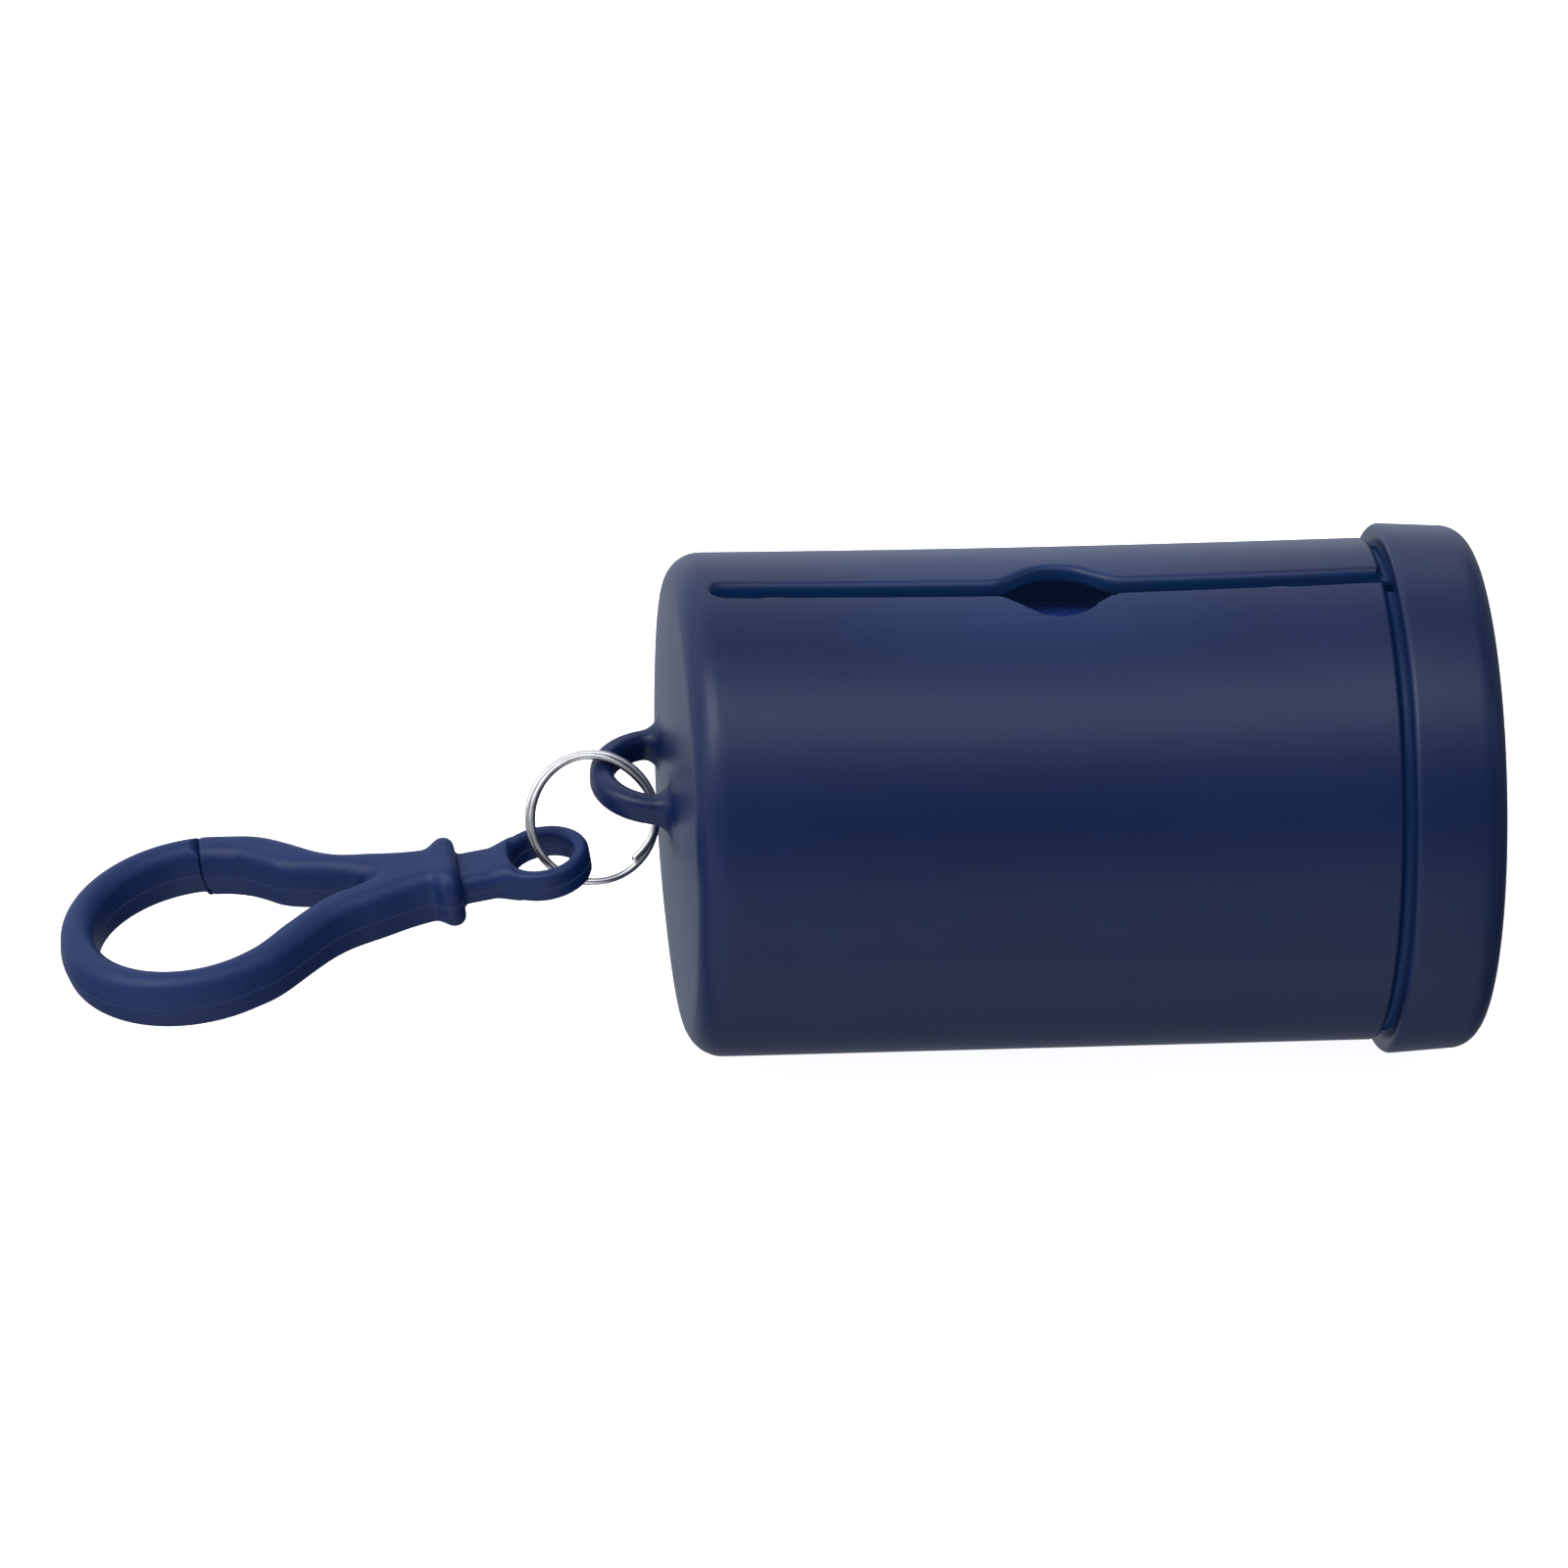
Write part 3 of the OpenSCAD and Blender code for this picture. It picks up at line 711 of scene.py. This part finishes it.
def navy_plastic(name, dark, light, smooth, parting=False):
    """Dark plastic. On the shell and cap, the cut faces and the inside get painted light: a weak emission, as
    if light came through the wall.
    """
    made, tree, shader = finish_of(name, IOR=1.5, Specular_IOR_Level=0.28)
    place = add(tree, "ShaderNodeTexCoord").outputs["Object"]
    flow = add(tree, "ShaderNodeTexNoise", {"Vector": place}, Scale=60.0, Detail=3.0, Roughness=0.6)
    grain = add(tree, "ShaderNodeTexNoise", {"Vector": place}, Scale=5200.0, Detail=2.0, Roughness=0.5)
    tree.links.new(colour_ramp(tree, flow.outputs["Fac"], (0.3, dark), (0.7, light)),
                   shader.inputs["Base Color"])
    gloss = add(tree, "ShaderNodeMapRange", {"Value": flow.outputs["Fac"]}, To_Min=smooth, To_Max=smooth + 0.08)
    tree.links.new(gloss.outputs["Result"], shader.inputs["Roughness"])
    layers = [(grain.outputs["Fac"], 0.25, 0.02), (flow.outputs["Fac"], 0.15, 0.3)]
    if not parting:
        # the shell and the cap: painted light, a weak emission only where the radius says cut wall or inside
        parts = add(tree, "ShaderNodeSeparateXYZ", {"Vector": place})
        flat = add(tree, "ShaderNodeCombineXYZ", {"Y": parts.outputs["Y"], "Z": parts.outputs["Z"]})
        radius = add(tree, "ShaderNodeVectorMath", {0: flat.outputs[0]}, operation="LENGTH")
        from_axis, from_end = radius.outputs["Value"], parts.outputs["X"]
        within = add(tree, "ShaderNodeMapRange", {"Value": from_axis},
                     From_Min=22.15 * MM, From_Max=21.9 * MM)
        beyond = add(tree, "ShaderNodeMapRange", {"Value": from_end},
                     From_Min=(3.4 - LENGTH) * MM, From_Max=(4.2 - LENGTH) * MM)
        before = add(tree, "ShaderNodeMapRange", {"Value": from_end},
                     From_Min=-0.4 * MM, From_Max=-1.2 * MM)
        deep = add(tree, "ShaderNodeMapRange", {"Value": from_axis},
                   From_Min=20.3 * MM, From_Max=20.9 * MM, To_Min=0.4)
        both = add(tree, "ShaderNodeMath", {0: within.outputs["Result"], 1: beyond.outputs["Result"]},
                   operation="MULTIPLY")
        inside = add(tree, "ShaderNodeMath", {0: deep.outputs["Result"], 1: before.outputs["Result"]},
                     operation="MULTIPLY")
        painted_glow = add(tree, "ShaderNodeMath", {0: both.outputs[0], 1: inside.outputs[0]},
                   operation="MULTIPLY")
        # painted light: this emission brightens the cut walls and the inside of the shell and cap
        tree.links.new(painted_glow.outputs[0], shader.inputs["Emission Strength"])
        shader.inputs["Emission Color"].default_value = (0.0022, 0.0105, 0.034, 1)
    if parting:
        # the hook: a raised line where the two mould halves met, with a painted highlight along it: a faint
        # pale emission
        height = add(tree, "ShaderNodeAttribute", attribute_name="height")
        away = add(tree, "ShaderNodeMath", {0: height.outputs["Fac"]}, operation="ABSOLUTE")
        line = add(tree, "ShaderNodeMapRange", {"Value": away.outputs[0]},
                   From_Max=0.14, interpolation_type="SMOOTHSTEP")
        layers.append((line.outputs["Result"], 0.6, 0.12))
        # painted highlight: a faint emission makes the parting line glow a little paler
        painted_line_highlight = add(tree, "ShaderNodeMapRange", {"Value": line.outputs["Result"]}, To_Min=0.02, To_Max=0.0)
        tree.links.new(painted_line_highlight.outputs["Result"], shader.inputs["Emission Strength"])
        shader.inputs["Emission Color"].default_value = (0.5, 0.8, 1.4, 1)
    bumped(tree, shader, *layers)
    return made


shell_finish = navy_plastic("navy_shell_plastic", (0.0021, 0.0112, 0.050),
                            (0.0029, 0.0136, 0.060), 0.32)
hook_finish = navy_plastic("navy_hook_plastic", (0.0026, 0.0172, 0.078),
                           (0.0034, 0.0207, 0.092), 0.44, parting=True)
for piece, finish in ((canister, shell_finish), (cap, shell_finish),
                      (hook, hook_finish), (gate, hook_finish)):
    piece.data.materials.append(finish)

# %% Ring steel
steel, tree, shader = finish_of("drawn_steel", Metallic=1.0)
place = add(tree, "ShaderNodeTexCoord").outputs["Object"]
drawn = add(tree, "ShaderNodeTexNoise", {"Vector": place}, Scale=900.0, Detail=3.0)
tree.links.new(colour_ramp(tree, drawn.outputs["Fac"], (0.3, (0.50, 0.47, 0.43)),
                           (0.7, (0.72, 0.69, 0.65))), shader.inputs["Base Color"])
dull = add(tree, "ShaderNodeMapRange", {"Value": drawn.outputs["Fac"]}, To_Min=0.22, To_Max=0.3)
tree.links.new(dull.outputs["Result"], shader.inputs["Roughness"])
bumped(tree, shader, (drawn.outputs["Fac"], 0.05, 0.004))
split_ring.data.materials.append(steel)

# %% Bag film
# painted light: the film glows faintly, standing in for light that reaches the roll inside the canister
film, tree, shader = finish_of("blue_bag_film", IOR=1.5, Emission_Strength=0.6,
                               Emission_Color=(0.0030, 0.0085, 0.027, 1))
place = add(tree, "ShaderNodeTexCoord").outputs["Object"]
streak = add(tree, "ShaderNodeMapping", {"Vector": place}, Scale=(1.0, 9.0, 9.0))
crinkle = add(tree, "ShaderNodeTexNoise", {"Vector": streak.outputs["Vector"]},
              Scale=120.0, Detail=4.0, Distortion=0.6)
tree.links.new(colour_ramp(tree, crinkle.outputs["Fac"], (0.3, (0.008, 0.022, 0.13)),
                           (0.7, (0.020, 0.050, 0.24))), shader.inputs["Base Color"])
sheen = add(tree, "ShaderNodeMapRange", {"Value": crinkle.outputs["Fac"]}, To_Min=0.2, To_Max=0.38)
tree.links.new(sheen.outputs["Result"], shader.inputs["Roughness"])
bumped(tree, shader, (crinkle.outputs["Fac"], 0.35, 0.15))
roll.data.materials.append(film)
loose.data.materials.append(film)

# %% Paper core
paper, tree, shader = finish_of("pulp_board", Specular_IOR_Level=0.2)
place = add(tree, "ShaderNodeTexCoord").outputs["Object"]
fibre = add(tree, "ShaderNodeTexNoise", {"Vector": place}, Scale=700.0, Detail=5.0, Roughness=0.65)
tree.links.new(colour_ramp(tree, fibre.outputs["Fac"], (0.3, (0.38, 0.27, 0.17)),
                           (0.7, (0.56, 0.43, 0.29))), shader.inputs["Base Color"])
rough = add(tree, "ShaderNodeMapRange", {"Value": fibre.outputs["Fac"]}, To_Min=0.78, To_Max=0.92)
tree.links.new(rough.outputs["Result"], shader.inputs["Roughness"])
bumped(tree, shader, (fibre.outputs["Fac"], 0.4, 0.06))
core.data.materials.append(paper)

# %% [markdown]
# ## Floor and light
# A product tent wraps the object in soft white cloth. On a shiny tube every band of
# brightness in the tent shows as a band along the tube, so the tent is painted by
# angle: bright overhead, dark at the level of the object, and dimmer to the right. One
# soft lamp at the left adds a highlight near the closed end. A few area lamps alone
# would give harder edges. The floor glows white by itself, like a lit sweep, takes
# almost no shadow, and is hidden from the object's reflections.

# %% Floor
span, ground = 4.0, -0.02375
floor = bpy.data.objects.new("floor", bpy.data.meshes.new("floor"))
floor.data.from_pydata([(x * span, y * span, ground) for x, y in ((-1, -1), (1, -1), (1, 1), (-1, 1))],
                       [], [(0, 1, 2, 3)])
bpy.context.scene.collection.objects.link(floor)
floor_paint, tree, shader = finish_of("white_sweep", Base_Color=(0.8, 0.8, 0.8, 1), Roughness=0.9,
                                      Emission_Color=(1, 1, 1, 1), Emission_Strength=0.93)
floor.data.materials.append(floor_paint)
floor.visible_glossy = floor.visible_diffuse = floor.visible_shadow = False
floor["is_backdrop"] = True

# %% Light tent
# (angle round the tube in degrees, brightness)
TENT = [(-180, 0.95), (-166, 0.7), (-150, 0.58), (-135, 0.4), (-118, 0.18), (-94, 0.25),
        (-75, 0.6), (-58, 0.86), (-38, 0.94), (-22, 1.08), (-10, 1.0), (3, 0.6), (22, 0.25),
        (40, 0.38), (54, 0.85), (64, 2.0), (70, 3.0), (78, 3.0), (86, 1.75), (98, 1.0),
        (114, 0.55), (127, 0.88), (140, 1.4), (152, 1.0), (165, 0.64), (172, 0.7), (180, 0.95)]
world = bpy.data.worlds.new("tent")
bpy.context.scene.world = world
world.use_nodes = True
tree = world.node_tree
all_round = add(tree, "ShaderNodeTexCoord").outputs["Generated"]
toward = add(tree, "ShaderNodeSeparateXYZ", {"Vector": all_round})
front = add(tree, "ShaderNodeMath", {0: toward.outputs["Y"]}, operation="MULTIPLY")
front.inputs[1].default_value = -1
angle = add(tree, "ShaderNodeMath", {0: toward.outputs["Z"], 1: front.outputs[0]}, operation="ARCTAN2")
share = add(tree, "ShaderNodeMapRange", {"Value": angle.outputs[0]}, From_Min=-math.pi, From_Max=math.pi)
cloth = colour_ramp(tree, share.outputs["Result"],
                    *[((a + 180) / 360, (b * 0.264, b * 0.282, b * 0.329)) for a, b in TENT])
tree.links.new(cloth, tree.nodes["Background"].inputs["Color"])
shaded = add(tree, "ShaderNodeMapRange", {"Value": toward.outputs["X"]},
             From_Min=0.15, From_Max=0.55, To_Min=3.5, To_Max=1.2)
tree.links.new(shaded.outputs["Result"], tree.nodes["Background"].inputs["Strength"])
bpy.context.scene.view_settings.view_transform = "Standard"


def soft_light(name, place, target, size, power):
    """A large rectangular lamp turned towards its target."""
    light = bpy.data.lights.new(name, "AREA")
    light.shape, light.size, light.size_y, light.energy = "RECTANGLE", size[0], size[1], power
    lamp = bpy.data.objects.new(name, light)
    lamp.location, lamp.visible_camera = place, False
    lamp.rotation_euler = (Vector(target) - Vector(place)).to_track_quat("-Z", "Y").to_euler()
    bpy.context.scene.collection.objects.link(lamp)


soft_light("left_box", (-0.70, -0.10, 0.72), (-0.06, 0, 0), (0.42, 0.5), 2.6)

print("tent painted with", len(TENT), "bands")

# %% [markdown]
# ## Checking the size and finishing
# The dressed model must stay inside the engineering model's box, so both boxes are
# written down side by side.

# %% Size and finish
seen_low, seen_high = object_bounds()
for corner, planned, seen in (("low", cad_low, seen_low), ("high", cad_high, seen_high)):
    print("visual", corner, "corner off by mm", [round((b - a) / MM, 3) for a, b in zip(planned, seen)])
